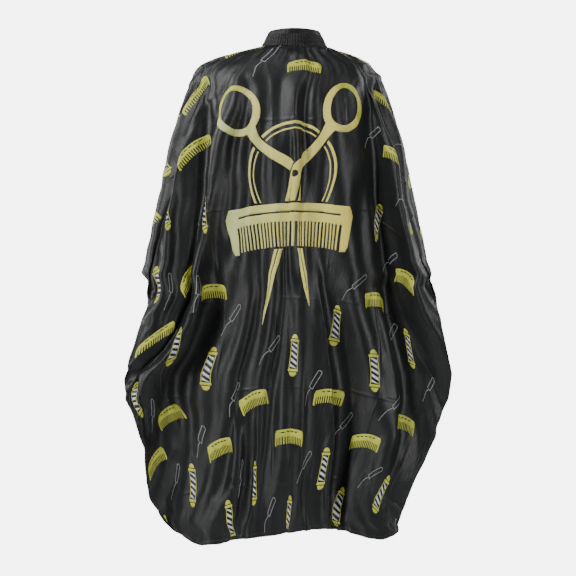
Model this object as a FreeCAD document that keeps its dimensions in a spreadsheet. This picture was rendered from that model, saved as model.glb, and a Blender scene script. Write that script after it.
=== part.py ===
"""Barber cape: one cut of polyester cloth hung from a gathered elastic neck band, closed at the nape
by an overlapping tab with a press snap and a row of studs.

Millimetres, +Z up, front towards -Y. The origin is the centre of the neckline, where the band is
sewn to the cloth. The cloth is drawn as the bell that it hangs in.
"""
import FreeCAD, Part
import os

doc = FreeCAD.newDocument("barber_cape")

DIMENSIONS = {
    # cloth, as it hangs
    "cloth_thick": 2.0,          # space that the cloth's small folds take up
    "neck_half_width": 81.0,
    "neck_half_depth": 68.0,
    "neck_tilt": 5.7,            # degrees, the neckline is higher at the back
    "side_shift": -16.0,         # the cloth hangs a little to one side of the neck
    "slit_width": 4.0,
    "back_hem_drop": 205.0,      # neckline to the hem of the back flap
    "flap_half_width": 150.0,    # half width of the back opening, at the flap
    "sleeve_drop": 620.0,        # neckline to the side's lowest back corner
    "sleeve_inner": 300.0,       # half width of the back opening, at that corner
    "side_edge_y": 22.0,         # how far the front panel's side edges wrap back
    "hem_high": 10.0,            # the front hem's thread above the edge
    # neck band
    "band_rise": 36.0,
    "band_clear": 0.4,           # the band starts this far above the neckline
    "top_half_width": 63.0,
    "top_half_depth": 56.0,
    "top_forward": -8.0,
    "fabric_ply": 0.6,
    "elastic_thick": 1.2,
    "elastic_margin": 3.0,
    "thread_thick": 0.35,
    "thread_high": 0.7,
    "thread_clear": 0.05,        # the hem's thread off the cloth
    "row_clear": 0.02,           # the band's thread off the band
    "row_first": 5.0,            # height of the first row of stitching above the neckline
    "row_pitch": 7.5,
    # closure at the nape
    "closure_y": 60.4,
    "closure_z": 6.0,
    "closure_tilt": 33.2,        # degrees, leans forward like the nape
    "closure_half": 34.0,        # half width of the flat stretch of the band
    "tab_low": 3.0,
    "tab_high": 36.0,
    "tab_corner": 8.0,
    "stiffener_thick": 0.8,
    "under_reach": 66.0,
    "over_reach": 64.0,
    "tab_gap": 3.2,              # the snap holds the two tabs this far apart
    "root_wide": 9.0,
    "root_deep": 16.0,
    "root_clear": 0.4,
    "hinge_gap": 0.5,
    "stitch_inset": 3.0,
    # press snap
    "stud_pitch": 14.0,
    "stud_first": -24.0,
    "snap_height": 19.5,         # up the tab
    "flange_radius": 4.0,
    "flange_thick": 0.8,
    "stud_neck_radius": 1.6,
    "stud_head_radius": 2.0,
    "stud_reach": 2.7,
    "head_thick": 0.9,
    "post_radius": 1.2,
    "hole_play": 0.1,
    "cap_radius": 6.5,
    "cap_thick": 1.0,
    "cap_dome": 0.7,
    "socket_radius": 5.5,
    "socket_play": 0.35,
    "socket_roof": 0.4,
    "socket_lift": 0.25,         # the socket's mouth above the stud's flange
    "spring_wire": 0.25,
    "spring_lift": 0.75,         # the ring spring above the mouth
    "groove_play": 0.05,
}

# The bell's outer sections: height, half width, half depth, centre towards the back, tilt in degrees
BELL = [
    (0, 83, 70, 0, 5.7), (-22, 158, 92, 0, 3.0), (-51, 206, 108, 0, 1.0), (-80, 228, 118, -2, 0),
    (-120, 246, 128, -5, 0), (-195, 270, 140, -8, 0), (-300, 298, 148, -12, 0), (-450, 331, 152, -16, 0),
    (-600, 355, 155, -20, 0), (-745, 382, 155, -22, 0), (-840, 397, 152, -24, 0), (-918, 368, 150, -26, 0),
    (-1034, 335, 145, -28, 0), (-1150, 300, 138, -30, 0), (-1212, 270, 132, -32, 0)]
BELOW = 60                       # how far tools run past what they cut
ASIDE, DEEP = 600.0, 400.0       # blocks as wide and as deep as this clear the whole cloth
PAST = "1"                       # how far small tools run past what they cut
STUDS = 4
STITCH_ROWS = 3

sheet = doc.addObject("Spreadsheet::Sheet", "sizes")
for row, (word, value) in enumerate(DIMENSIONS.items(), start=1):
    sheet.set(f"A{row}", word)
    sheet.set(f"B{row}", str(value))
    sheet.setAlias(f"B{row}", word)
doc.recompute()

NODES = []


def bound(text):
    """An expression in which each word of the sheet stands for its cell."""
    for word in sorted(DIMENSIONS, key=len, reverse=True):
        text = text.replace(f"<{word}>", f"sizes.{word}")
    return text


def add(kind, name, sizes=None, at=None, turn=None):
    """One document object: its sizes, its base point and its turn about X, all as expressions."""
    made = doc.addObject(kind, name)
    for key, text in (sizes or {}).items():
        made.setExpression(key, bound(text))
    made.Placement.Rotation = FreeCAD.Rotation(FreeCAD.Vector(1, 0, 0), 0.001 if turn else 0)
    for axis, text in zip("xyz", at or ()):
        made.setExpression(f"Placement.Base.{axis}", bound(text))
    if turn:
        made.setExpression("Placement.Rotation.Angle", bound(turn))
    return made


def node(made, name):
    """Gives a finished sub-part its label and puts it on the list of files."""
    made.Label = name
    NODES.append(made)
    return made


def cut(base, tool, name):
    made = doc.addObject("Part::Cut", name)
    made.Base, made.Tool = base, tool
    return made


def fuse(shapes, name):
    made = doc.addObject("Part::MultiFuse", name)
    made.Shapes = shapes
    made.Refine = True
    return made


def group(shapes, name):
    made = doc.addObject("Part::Compound", name)
    made.Links = shapes
    return made


def loft(sections, name):
    made = doc.addObject("Part::Loft", name)
    made.Sections = sections
    made.Solid = True
    made.Ruled = True
    return made


# ---- the cloth --------------------------------------------------------------------------------
def bell(name, inset, sections=BELL):
    """The bell's solid, its walls and its top drawn in by an expression of the sheet."""
    rings = []
    for k, (height, wide, deep, back, tilt) in enumerate(sections):
        shift = "<side_shift>" if height < 0 else "0"
        sizes = {"MajorRadius": f"{wide} - {inset}", "MinorRadius": f"{deep} - {inset}"}
        place = (shift, f"{back}", f"{height} - {inset}")
        rings.append(add("Part::Ellipse", f"{name}_ring{k}", sizes, place, f"{tilt}" if tilt else None))
    return loft(rings, name)


def back_opening():
    """What is open behind: below the back flap, between the two sides, and behind the front panel."""
    sketch = doc.addObject("Sketcher::SketchObject", "back_outline")
    upright = FreeCAD.Rotation(FreeCAD.Vector(1, 0, 0), 90)
    sketch.Placement = FreeCAD.Placement(FreeCAD.Vector(0, 0, 0), upright)
    flap, sleeve = -DIMENSIONS["back_hem_drop"], -DIMENSIONS["sleeve_drop"]
    corners = [(DIMENSIONS["flap_half_width"], flap), (DIMENSIONS["sleeve_inner"], sleeve), (ASIDE, sleeve),
               (ASIDE, BELL[-1][0] - BELOW)]
    outline = corners + [(-across, up) for across, up in reversed(corners)]
    for k, start in enumerate(outline):
        end = outline[(k + 1) % len(outline)]
        sketch.addGeometry(Part.LineSegment(FreeCAD.Vector(*start, 0), FreeCAD.Vector(*end, 0)))
    prism = doc.addObject("Part::Extrusion", "back_opening")
    prism.Base = sketch
    prism.DirMode = "Custom"
    prism.Dir = FreeCAD.Vector(0, 1, 0)
    prism.LengthFwd = DEEP
    prism.Solid = True
    prism.setExpression("Placement.Base.y", bound("<side_edge_y>"))
    return prism


def cape_cloth():
    shell = cut(bell("bell_outside", "0"), bell("bell_inside", "<cloth_thick>"), "bell_shell")
    neck = add("Part::Ellipse", "neck_hole_outline",
               {"MajorRadius": "<neck_half_width>", "MinorRadius": "<neck_half_depth>"},
               ("0", "0", f"{-BELOW}"))
    hole = doc.addObject("Part::Extrusion", "neck_hole")
    hole.Base = neck
    hole.DirMode = "Custom"
    hole.Dir = FreeCAD.Vector(0, 0, 1)
    hole.LengthFwd = 2 * BELOW
    hole.Solid = True
    slit = add("Part::Box", "back_slit",
               {"Length": "<slit_width>", "Width": f"{DEEP}", "Height": f"<back_hem_drop> + {2 * BELOW}"},
               ("-<slit_width> / 2", "0", f"-<back_hem_drop> - {BELOW}"))
    # the inside bell ends where the outside one does, so the foot is opened by a longer block
    foot = loft([add("Part::Ellipse", f"foot{k}", {"MajorRadius": f"{BELL[-1][1]} - <cloth_thick>",
                                                    "MinorRadius": f"{BELL[-1][2]} - <cloth_thick>"},
                     ("<side_shift>", f"{BELL[-1][3]}", f"{height}"))
                 for k, height in enumerate((BELL[-1][0] + 1, BELL[-1][0] - BELOW))], "foot")
    tools = fuse([hole, slit, back_opening(), foot], "cloth_openings")
    node(cut(shell, tools, "cape_cloth"), "cape_cloth")


def hem_stitching():
    """The thread that holds the front hem's turning, a row a little above the edge."""
    high, low = BELL[-2], BELL[-1]
    foot, rise = DIMENSIONS["hem_high"], DIMENSIONS["thread_high"]

    def ring(name, lift, grow):
        share = lift / (high[0] - low[0])
        wide = low[1] + (high[1] - low[1]) * share
        deep = low[2] + (high[2] - low[2]) * share
        back = low[3] + (high[3] - low[3]) * share
        sizes = {"MajorRadius": f"{wide} + {grow}", "MinorRadius": f"{deep} + {grow}"}
        return add("Part::Ellipse", name, sizes, ("<side_shift>", f"{back}", f"{low[0] + lift}"))

    full = "<thread_clear> + <thread_thick>"
    outer = loft([ring("hem_out0", foot, full), ring("hem_out1", foot + rise, full)], "hem_outside")
    inner = loft([ring("hem_in0", foot - 1, "<thread_clear>"),
                  ring("hem_in1", foot + rise + 1, "<thread_clear>")], "hem_inside")
    behind = add("Part::Box", "hem_behind",
                 {"Length": f"{2 * ASIDE}", "Width": f"{DEEP}", "Height": f"{2 * BELOW}"},
                 (f"-{ASIDE}", "<side_edge_y>", f"{low[0] - BELOW}"))
    node(cut(cut(outer, inner, "hem_ring"), behind, "hem_stitching"), "hem_stitching")


# ---- the neck band ----------------------------------------------------------------------------
def band_ring(name, share, grow):
    """The band's outline at a share of its rise, grown by an expression."""
    wide = f"<neck_half_width> + (<top_half_width> - <neck_half_width>) * ({share}) + {grow}"
    deep = f"<neck_half_depth> + (<top_half_depth> - <neck_half_depth>) * ({share}) + {grow}"
    place = ("0", f"<top_forward> * ({share})", f"<band_rise> * ({share})")
    return add("Part::Ellipse", name, {"MajorRadius": wide, "MinorRadius": deep}, place, "<neck_tilt>")


def band_solid(name, grow, low="0", high="<band_rise>"):
    return loft([band_ring(f"{name}_foot", f"({low}) / <band_rise>", grow),
                 band_ring(f"{name}_head", f"({high}) / <band_rise>", grow)], name)


def band_ply(name, inner, outer, low="<band_clear>", high="<band_rise>"):
    """A ply of the band, from its inner to its outer growth, open at the nape."""
    core = band_solid(f"{name}_core", inner, f"{low} - {PAST}", f"{high} + {PAST}")
    wall = cut(band_solid(f"{name}_skin", outer, low, high), core, f"{name}_ring")
    return cut(wall, closure_space, f"{name}_open")


# ---- the closure ------------------------------------------------------------------------------
def local(across, out, up):
    """A point of the nape's flat stretch: across it, out from it, and up along it."""
    across, out, up = bound(across), bound(out), bound(up)
    tilt = "sizes.closure_tilt * 1 deg"
    return (across, f"sizes.closure_y + ({out}) * cos({tilt}) - ({up}) * sin({tilt})",
            f"sizes.closure_z + ({out}) * sin({tilt}) + ({up}) * cos({tilt})")


def plate_box(name, left, length, out, thick, low, high):
    return add("Part::Box", name, {"Length": length, "Width": thick, "Height": f"({high}) - ({low})"},
               local(left, out, low), "<closure_tilt>")


def drum(name, across, out, radius, length, up="<snap_height>"):
    """A cylinder that stands out of the flat stretch."""
    return add("Part::Cylinder", name, {"Radius": radius, "Height": length}, local(across, out, up),
               "<closure_tilt> - 90")


def tab_plate(name, root, reach, side, out, thick, inset="0"):
    """A tab's ply: square at its root, with two round corners at its free end."""
    low, high = f"<tab_low> + {inset}", f"<tab_high> - {inset}"
    long = f"(<{reach}> - 2 * {inset})"
    corner = f"(<tab_corner> - {inset})"
    start = f"{root} + {side} * {inset}"

    def stretch(part, length, trim):
        left = start if side > 0 else f"{start} - {length}"
        return plate_box(f"{name}_{part}", left, length, out, thick, f"{low} + {trim}", f"{high} - {trim}")

    body = stretch("body", f"({long} - {corner})", "0")
    nose = stretch("nose", long, corner)
    centre = f"{start} + {side} * ({long} - {corner})"
    rounds = [drum(f"{name}_round{k}", centre, out, corner, thick, up)
              for k, up in enumerate((f"{low} + {corner}", f"{high} - {corner}"))]
    return fuse([body, nose] + rounds, f"{name}_plate")


def tab(prefix, root, reach, side, out, holes):
    """Lining, stiffener and outer ply, with the snap's holes, and the thread round the edge."""
    level = out
    plies = {"lining": "<fabric_ply>", "stiffener": "<stiffener_thick>", "outer": "<fabric_ply>"}
    for ply, thick in plies.items():
        name = f"{prefix}_{ply}"
        plate = tab_plate(name, root, reach, side, level, thick)
        node(cut(plate, holes, f"{name}_holed"), name)
        level = f"{level} + {thick}"
    name = f"{prefix}_stitching"
    line = tab_plate(f"{name}_edge", root, reach, side, level, "<thread_thick>", "<stitch_inset>")
    field = tab_plate(f"{name}_field", root, reach, side, f"{level} - {PAST}", f"<thread_thick> + 2 * {PAST}",
                      "(<stitch_inset> + <thread_high>)")
    node(cut(line, field, f"{name}_line"), name)


def stud_place(k):
    return f"<stud_first> + {k} * <stud_pitch>"


def snap_studs():
    """Four studs on the under tab, and the rivets behind them."""
    studs, posts = [], []
    for k in range(STUDS):
        at = stud_place(k)
        flange = drum(f"stud{k}_flange", at, under_top, "<flange_radius>", "<flange_thick>")
        neck = drum(f"stud{k}_neck", at, under_top, "<stud_neck_radius>", "<stud_reach>")
        head = drum(f"stud{k}_head", at, f"{under_top} + <stud_reach> - <head_thick>", "<stud_head_radius>",
                    "<head_thick>")
        studs.append(fuse([flange, neck, head], f"stud{k}"))
        disc = drum(f"post{k}_disc", at, "-<flange_thick>", "<flange_radius>", "<flange_thick>")
        shank = drum(f"post{k}_shank", at, "-<flange_thick>", "<post_radius>",
                     f"{under_top} + <flange_thick>")
        posts.append(fuse([disc, shank], f"post{k}"))
    node(group(studs, "stud_group"), "snap_studs")
    node(group(posts, "post_group"), "stud_posts")


def snap_cap():
    disc = drum("cap_disc", snap_at, over_top, "<cap_radius>", "<cap_thick>")
    dome = add("Part::Cone", "cap_dome", {"Radius1": "<cap_radius>", "Radius2": "<cap_radius> * 0.6",
                                          "Height": "<cap_dome>"},
               local(snap_at, f"{over_top} + <cap_thick>", "<snap_height>"), "<closure_tilt> - 90")
    shank = drum("cap_shank", snap_at, over_foot, "<post_radius>", f"{over_top} - ({over_foot}) + 0.5")
    node(fuse([disc, dome, shank], "cap_whole"), "snap_cap")


def snap_socket():
    """The socket under the over tab, hollow for the stud, with a groove for its ring spring."""
    mouth = f"({under_top} + <flange_thick> + <socket_lift>)"
    bore = "(<stud_head_radius> + <socket_play>)"
    ring = f"({bore} + <spring_wire>)"
    ring_out = f"({mouth} + <spring_lift>)"
    body = drum("socket_body", snap_at, mouth, "<socket_radius>", f"{over_foot} - {mouth}")
    hollow = drum("socket_hollow", snap_at, f"{mouth} - {PAST}", bore,
                  f"{over_foot} - {mouth} + {PAST} - <socket_roof>")
    groove = drum("socket_groove", snap_at, f"{ring_out} - <spring_wire> - <groove_play>",
                  f"{ring} + <spring_wire> + <groove_play>", "2 * (<spring_wire> + <groove_play>)")
    node(cut(body, fuse([hollow, groove], "socket_space"), "socket_whole"), "snap_socket")
    spring = add("Part::Torus", "spring_ring", {"Radius1": ring, "Radius2": "<spring_wire>"},
                 local(snap_at, ring_out, "<snap_height>"), "<closure_tilt> - 90")
    node(spring, "socket_spring")


cape_cloth()
hem_stitching()

stack = "(2 * <fabric_ply> + <stiffener_thick>)"
under_top = stack
over_foot = f"({stack} + <tab_gap>)"
over_top = f"({over_foot} + {stack})"
snap_at = stud_place(STUDS - 1)

closure_space = plate_box("closure_space", "-<closure_half>", "2 * <closure_half>", "-<closure_half>",
                          "3 * <closure_half>", f"-{BELOW}", f"{2 * BELOW}")
facing_in = "-(2 * <fabric_ply> + <elastic_thick>)"
elastic_in = "-(<fabric_ply> + <elastic_thick>)"
node(band_ply("facing", facing_in, elastic_in), "neck_band_facing")
node(band_ply("elastic", elastic_in, "-<fabric_ply>", "<elastic_margin>", "<band_rise> - <elastic_margin>"),
     "neck_elastic")
node(band_ply("outer", "-<fabric_ply>", "0"), "neck_band_outer")
rows = []
for count in range(STITCH_ROWS):
    foot = f"<row_first> + {count} * <row_pitch>"
    rows.append(band_ply(f"row{count}", "<row_clear>", "<row_clear> + <thread_thick>", foot,
                         f"{foot} + <thread_high>"))
node(group(rows, "band_rows"), "neck_band_stitching")

through = f"{stack} + 2 * {PAST}"
under_holes = fuse([drum(f"under_hole{k}", stud_place(k), f"-{PAST}", "<post_radius> + <hole_play>", through)
                    for k in range(STUDS)], "under_holes")
over_hole = drum("over_hole", snap_at, f"{over_foot} - {PAST}", "<post_radius> + <hole_play>", through)
tab("underlap", "<closure_half>", "under_reach", -1, "0", under_holes)
tab("overlap", "-<closure_half>", "over_reach", 1, over_foot, over_hole)

root_block = plate_box("root_block", "-<closure_half> - <hinge_gap> - <root_wide>", "<root_wide>",
                       "-<root_deep>", f"<root_deep> + {over_top}", "<tab_low>", "<tab_high>")
band_core = band_solid("root_core", "<root_clear>", "-6", "<band_rise> + 12")
node(cut(root_block, band_core, "root_fitted"), "overlap_root")

snap_studs()
snap_cap()
snap_socket()

doc.recompute()
for made in doc.Objects:
    if "Invalid" in made.State or "Error" in made.State:
        raise RuntimeError(f"{made.Name} failed: {made.State}")

os.makedirs("parts", exist_ok=True)
for made in NODES:
    if made.Shape.isNull() or not made.Shape.isValid() or not made.Shape.Solids:
        raise RuntimeError(f"{made.Label} has no valid solid")
    made.Shape.exportStep(f"parts/{made.Label}.step")
    box = made.Shape.BoundBox
    print(f"{made.Label:24s} solids {len(made.Shape.Solids)} volume {made.Shape.Volume / 1000:9.3f} cm3 "
          f"x {box.XMin:.1f} {box.XMax:.1f} y {box.YMin:.1f} {box.YMax:.1f} z {box.ZMin:.1f} {box.ZMax:.1f}")
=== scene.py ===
import math
import bmesh
import bpy
import numpy as np
from mathutils import Matrix, Vector
from mathutils.bvhtree import BVHTree
from mathutils.geometry import delaunay_2d_cdt


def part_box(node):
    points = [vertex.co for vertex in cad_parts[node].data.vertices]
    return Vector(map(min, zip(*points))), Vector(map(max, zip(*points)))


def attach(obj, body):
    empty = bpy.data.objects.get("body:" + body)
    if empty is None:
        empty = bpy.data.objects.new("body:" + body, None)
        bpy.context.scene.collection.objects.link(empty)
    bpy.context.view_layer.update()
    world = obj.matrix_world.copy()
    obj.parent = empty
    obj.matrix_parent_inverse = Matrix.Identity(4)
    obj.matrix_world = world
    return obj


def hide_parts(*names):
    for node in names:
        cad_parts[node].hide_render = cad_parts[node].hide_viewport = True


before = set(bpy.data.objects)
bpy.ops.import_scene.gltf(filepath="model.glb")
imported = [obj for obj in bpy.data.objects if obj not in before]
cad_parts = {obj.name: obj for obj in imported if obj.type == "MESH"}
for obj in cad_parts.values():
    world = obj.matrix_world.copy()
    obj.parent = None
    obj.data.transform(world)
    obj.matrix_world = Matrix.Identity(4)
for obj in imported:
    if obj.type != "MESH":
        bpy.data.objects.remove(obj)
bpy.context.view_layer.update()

# ---- sizes, in metres -------------------------------------------------------------------------
BAND_LOW, BAND_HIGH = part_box("neck_band_outer")
NECK_WIDE = (BAND_HIGH[0] - BAND_LOW[0]) / 2      # the neckline's half width and half depth
NECK_DEEP = -BAND_LOW[1]
NECK_SLOPE = math.tan(math.radians(5.7))          # the neckline is higher at the back
TOP_WIDE, TOP_DEEP = 0.063, 0.056                 # the band's top edge
TOP_FORWARD, BAND_RISE = -0.008, 0.036

CLOSURE = Vector((0.0, 0.0604, 0.0060))           # foot of the band's flat stretch at the nape
CLOSURE_TILT = math.radians(33.2)
CLOSURE_HALF = 0.034
ACROSS = Vector((1, 0, 0))
OUT = Vector((0, math.cos(CLOSURE_TILT), math.sin(CLOSURE_TILT)))
UP = Vector((0, -math.sin(CLOSURE_TILT), math.cos(CLOSURE_TILT)))

CELL = 0.0145            # the simulated cut's mesh
FINE = CELL / 0.0145
HALF_CELLS, BACK_CELLS, FRONT_CELLS, BLOCK_CELLS = (int(k / FINE) for k in (44, 18, 90, 14))
CUT_HALF, CUT_BACK, CUT_FRONT = HALF_CELLS * CELL, BACK_CELLS * CELL, FRONT_CELLS * CELL
HOLE = 0.090                                      # radius of the neck hole in the cut
CORNER = 0.23                                     # radius of the cut's corners
CLOTH_THICK = 0.00035
CLOTH_CLEAR = 0.003                               # how far the cloth stays off the form
SETTLE_FRAMES = 28
FOLD_SEED, SHAKE_SEED = 11, 3
BELL_FOLDS, FOLD_SWELL = 17, 0.034                # folds round the starting bell, and their height
SLIT_HALF = 0.002                                 # half the gap that the slit starts with


# ---- small helpers ----------------------------------------------------------------------------
def deselect():
    for each in bpy.context.selected_objects:
        each.select_set(False)


def make_object(name, mesh):
    piece = bpy.data.objects.new(name, mesh)
    bpy.context.scene.collection.objects.link(piece)
    return piece


def apply_modifiers(piece):
    deselect()
    piece.select_set(True)
    bpy.context.view_layer.objects.active = piece
    for modifier in list(piece.modifiers):
        bpy.ops.object.modifier_apply(modifier=modifier.name)


def mesh_object(name, points, faces, smooth=True):
    mesh = bpy.data.meshes.new(name)
    mesh.from_pydata([tuple(p) for p in points], [], [tuple(int(i) for i in f) for f in faces])
    mesh.validate()
    if smooth:
        mesh.shade_smooth()
    return make_object(name, mesh)


def recalculate(mesh):
    work = bmesh.new()
    work.from_mesh(mesh)
    bmesh.ops.recalc_face_normals(work, faces=work.faces)
    work.to_mesh(mesh)
    work.free()


def smooth_step(x, low=0.0, high=1.0):
    t = np.clip((x - low) / (high - low), 0, 1)
    return t * t * (3 - 2 * t)


def wander(x, seed, waves=5, slowest=1.0):
    """A smooth random curve of about unit size: a few sines with seeded phases."""
    own = np.random.default_rng(seed)
    total = np.zeros_like(x)
    for k in range(1, waves + 1):
        size = own.uniform(-1, 1) / math.sqrt(k)
        total = total + size * np.sin(slowest * k * x + own.uniform(0, 2 * math.pi))
    return total


# ---- the flat cut -----------------------------------------------------------------------------
def round_corner(u, v):
    """Pulls the outer points of the square grid onto the cut's round corners."""
    for side in (-1, 1):
        for way, edge in ((-1, -CUT_BACK), (1, CUT_FRONT)):
            radius = min(CORNER, CUT_BACK * 0.6) if way < 0 else CORNER
            cu, cv = side * (CUT_HALF - radius), edge - way * radius
            a, b = (u - cu) * side / radius, (v - cv) * way / radius
            if a > 0 and b > 0:
                reach, turn = max(a, b), min(a, b) / max(a, b) * math.pi / 4
                x, y = reach * math.cos(turn), reach * math.sin(turn)
                if b > a:
                    x, y = y, x
                return cu + side * radius * x, cv + way * radius * y
    return u, v


def flat_cut():
    """The cut as a mesh: u across, v towards the front hem. A square grid with rings round the neck
    hole, slit from the hole to the back edge. Returns the points, the faces and the hole's points."""
    index, points, faces = {}, [], []
    block = BLOCK_CELLS

    def vertex(key, place):
        if key not in index:
            index[key] = len(points)
            points.append(place)
        return index[key]

    def grid_key(i, j, side):
        return ("slit", side, j) if i == 0 and j < 0 else ("grid", i, j)

    for i in range(-HALF_CELLS, HALF_CELLS):
        for j in range(-BACK_CELLS, FRONT_CELLS):
            if -block <= i < block and -block <= j < block:
                continue
            side = 1 if i >= 0 else -1
            faces.append([vertex(grid_key(a, b, side), round_corner(a * CELL, b * CELL))
                          for a, b in ((i, j), (i + 1, j), (i + 1, j + 1), (i, j + 1))])
    square = [(k, -block) for k in range(block)]
    square += [(block, -block + k) for k in range(2 * block)]
    square += [(block - k, block) for k in range(2 * block)]
    square += [(-block, block - k) for k in range(2 * block)]
    square += [(-block + k, -block) for k in range(block + 1)]
    count = len(square) - 1
    layers = max(5, round((block * CELL - HOLE) / CELL * 1.25))

    def ring_vertex(step, layer):
        i, j = square[step]
        if layer == layers:
            return vertex(grid_key(i, j, -1 if step == count else 1), (i * CELL, j * CELL))
        share = layer / layers
        share *= 0.7 + 0.3 * share
        turn = -math.pi / 2 + 2 * math.pi * step / count
        near = (HOLE * math.cos(turn), HOLE * math.sin(turn))
        place = tuple(n + (far * CELL - n) * share for n, far in zip(near, (i, j)))
        return vertex(("ring", step, layer), place)

    for step in range(count):
        for layer in range(layers):
            faces.append([ring_vertex(step, layer), ring_vertex(step, layer + 1),
                          ring_vertex(step + 1, layer + 1), ring_vertex(step + 1, layer)])
    hole = [index[("ring", step, 0)] for step in range(count + 1)]
    return np.array(points), faces, hole


# ---- the form that it hangs on ----------------------------------------------------------------
# the hanging bell's outline: height, half width, half depth
BELL = np.array([(0.004, 0.080, 0.066), (-0.012, 0.140, 0.088), (-0.03, 0.190, 0.104),
                 (-0.055, 0.222, 0.118), (-0.09, 0.243, 0.130), (-0.14, 0.258, 0.138),
                 (-0.22, 0.278, 0.142), (-0.32, 0.302, 0.144), (-0.45, 0.333, 0.146),
                 (-0.60, 0.358, 0.147), (-0.75, 0.384, 0.147), (-0.86, 0.398, 0.147),
                 (-0.95, 0.375, 0.145), (-1.08, 0.345, 0.142), (-1.25, 0.310, 0.140),
                 (-1.60, 0.270, 0.140)])
SIDE_SHIFT = -0.014                               # the cape hangs a little to its left
# the torso: height, half width, half depth, centre towards the back
TORSO = [(0.10, 0.055, 0.055, -0.012), (0.03, 0.056, 0.056, -0.008), (0.005, 0.062, 0.060, -0.004),
         (-0.004, 0.090, 0.070, 0.0), (-0.009, 0.135, 0.082, 0.004), (-0.022, 0.178, 0.094, 0.006),
         (-0.042, 0.208, 0.106, 0.005), (-0.078, 0.226, 0.114, 0.0), (-0.14, 0.232, 0.120, -0.005),
         (-0.25, 0.21, 0.120, -0.008), (-0.36, 0.18, 0.114, -0.006), (-0.50, 0.16, 0.098, 0.0),
         (-0.85, 0.16, 0.095, 0.005), (-1.30, 0.12, 0.08, 0.0), (-1.6, 0.10, 0.07, 0.0)]
# an arm: across, back, height, radius
ARM = [(0.200, 0.0, -0.115, 0.050), (0.255, -0.01, -0.25, 0.035), (0.315, -0.03, -0.50, 0.026),
       (0.368, -0.05, -0.75, 0.022), (0.378, -0.05, -0.87, 0.022)]


def ringed_body(name, rings):
    """A closed body from rings of points."""
    around = len(rings[0])
    points = [p for ring in rings for p in ring]
    faces = []
    for r in range(len(rings) - 1):
        for k in range(around):
            near, far = r * around, (r + 1) * around
            faces.append((near + k, far + k, far + (k + 1) % around, near + (k + 1) % around))
    faces.append(tuple(range(around)))
    faces.append(tuple(range(len(points) - 1, len(points) - around - 1, -1)))
    body = mesh_object(name, points, faces, smooth=False)
    recalculate(body.data)
    return body


def hanging_form():
    turns = np.linspace(0, 2 * math.pi, 48, endpoint=False)
    torso = [[(a * math.cos(t), back + b * math.sin(t), z) for t in turns] for z, a, b, back in TORSO]
    bodies = [ringed_body("form_torso", torso)]
    turns = np.linspace(0, 2 * math.pi, 16, endpoint=False)
    for side in (-1, 1):
        rings = []
        top, foot = ARM[0], ARM[-1]
        ends = [(top[0], top[1], top[2] + top[3] * lift, top[3] * grow)
                for lift, grow in ((1, .05), (.8, .6), (.45, .9))]
        tips = [(foot[0], foot[1], foot[2] - foot[3] * drop, foot[3] * grow)
                for drop, grow in ((.5, .87), (.87, .5), (1, .05))]
        for across, back, height, radius in ends + ARM + tips:
            shift = SIDE_SHIFT * smooth_step(-height, 0.1, 0.5)
            middle = side * across + shift
            rings.append([(middle + radius * math.cos(t), back + radius * math.sin(t), height)
                          for t in turns])
        bodies.append(ringed_body("form_arm", rings))
    for body in bodies:
        body.modifiers.new("stop", "COLLISION")
        body.collision.thickness_outer = CLOTH_CLEAR
        body.collision.thickness_inner = 0.05
        body.collision.cloth_friction = 20
    return bodies


# ---- hanging the cut --------------------------------------------------------------------------
def folded_bell(flat):
    """Where the cut starts: already round the form, with folds that take up its width."""
    u, v = flat[:, 0], flat[:, 1]
    reach = np.hypot(u, v)
    turn = np.arctan2(u, v)                       # 0 at the front
    away = np.abs(turn)
    cut_turns = np.radians([0, 15, 30, 46, 72, 115, 180])
    hung_turns = np.radians([0, 24, 56, 88, 112, 142, 180])
    spread = smooth_step(reach, HOLE, HOLE + 0.45)
    side = np.sign(turn) * (away * (1 - spread) + np.interp(away, cut_turns, hung_turns) * spread)

    heights = np.linspace(BELL[0, 0], BELL[-1, 0], 1200)
    wide = np.interp(heights, BELL[::-1, 0], BELL[::-1, 1])
    deep = np.interp(heights, BELL[::-1, 0], BELL[::-1, 2])
    sectors = 60
    ways = np.linspace(0, math.pi, sectors + 1)
    down = (reach - HOLE) * 0.985
    drops = []
    for way in ways:
        outward = np.hypot(np.diff(wide * math.sin(way)), np.diff(deep * math.cos(way)))
        travelled = np.concatenate([[0], np.cumsum(np.hypot(outward, np.diff(heights)))])
        drops.append(np.interp(down, travelled, heights))
    drops = np.array(drops)
    place = np.abs(side) / math.pi * sectors
    low = np.minimum(place.astype(int), sectors - 1)
    part = place - low
    every = np.arange(len(flat))
    height = drops[low, every] * (1 - part) + drops[low + 1, every] * part

    own = np.random.default_rng(FOLD_SEED)
    wobble = sum(own.uniform(-1, 1) * np.sin(k * turn + own.uniform(0, 6.28)) / k for k in range(1, 6))
    phase = BELL_FOLDS * turn + 0.9 * wobble
    outwards = np.clip((reach - HOLE) / 0.5, 0, 1)
    sideways = (1 + 0.8 * np.clip(away - 0.5, 0, 1)) * (0.12 + 0.88 * smooth_step(away, 0.35, 0.95))
    fold = FOLD_SWELL * outwards ** 1.3 * sideways * np.cos(phase)
    a = np.interp(height, BELL[::-1, 0], BELL[::-1, 1]) + fold
    b = np.interp(height, BELL[::-1, 0], BELL[::-1, 2]) + fold
    hung = np.stack([a * np.sin(side) + SIDE_SHIFT * outwards, -b * np.cos(side), height], axis=1)
    near = 1 - smooth_step(reach, HOLE, HOLE + 0.10)
    ring = np.stack([NECK_WIDE * np.sin(side), np.minimum(-NECK_DEEP * np.cos(side), CLOSURE.y)], axis=1)
    hung[:, :2] = hung[:, :2] * (1 - near[:, None]) + ring * near[:, None]
    hung[:, 2] = hung[:, 2] * (1 - near) + NECK_SLOPE * hung[:, 1] * near
    return hung


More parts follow.
